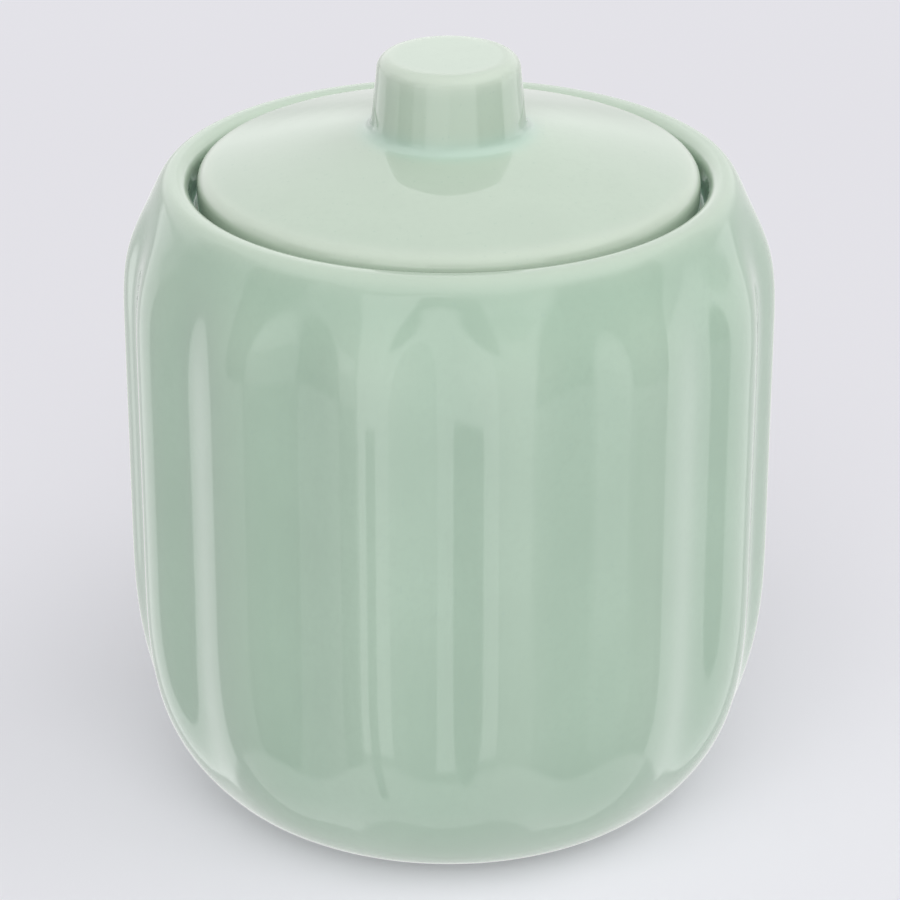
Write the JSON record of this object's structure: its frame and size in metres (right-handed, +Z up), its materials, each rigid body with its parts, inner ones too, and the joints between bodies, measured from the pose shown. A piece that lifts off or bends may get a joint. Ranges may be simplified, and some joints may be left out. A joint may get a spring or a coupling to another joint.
{
  "type": "cotton pad holder",
  "caption": "Round fluted glazed stoneware jar with a drop-in sloping lid and knob, for storing cotton pads on a vanity.",
  "frame": {"origin": "centre of the foot ring, on the table", "axes": "+Z up along the jar's axis; -Y is the front, where a flute hollow faces"},
  "size_m": [0.096, 0.0942, 0.115],
  "materials": {
    "jar_glaze": "glossy celadon glaze, paler on the edges",
    "lid_glaze": "glossy celadon glaze, paler on the edges"
  },
  "bodies": {
    "jar": {"jar_body": "jar_glaze"},
    "lid": {"lid": "lid_glaze"}
  },
  "joints": [
    {"name": "lid_lift", "type": "slide", "parent": "jar", "child": "lid", "axis": [0, 0, 1], "range_m": [0, 0.08]}
  ]
}
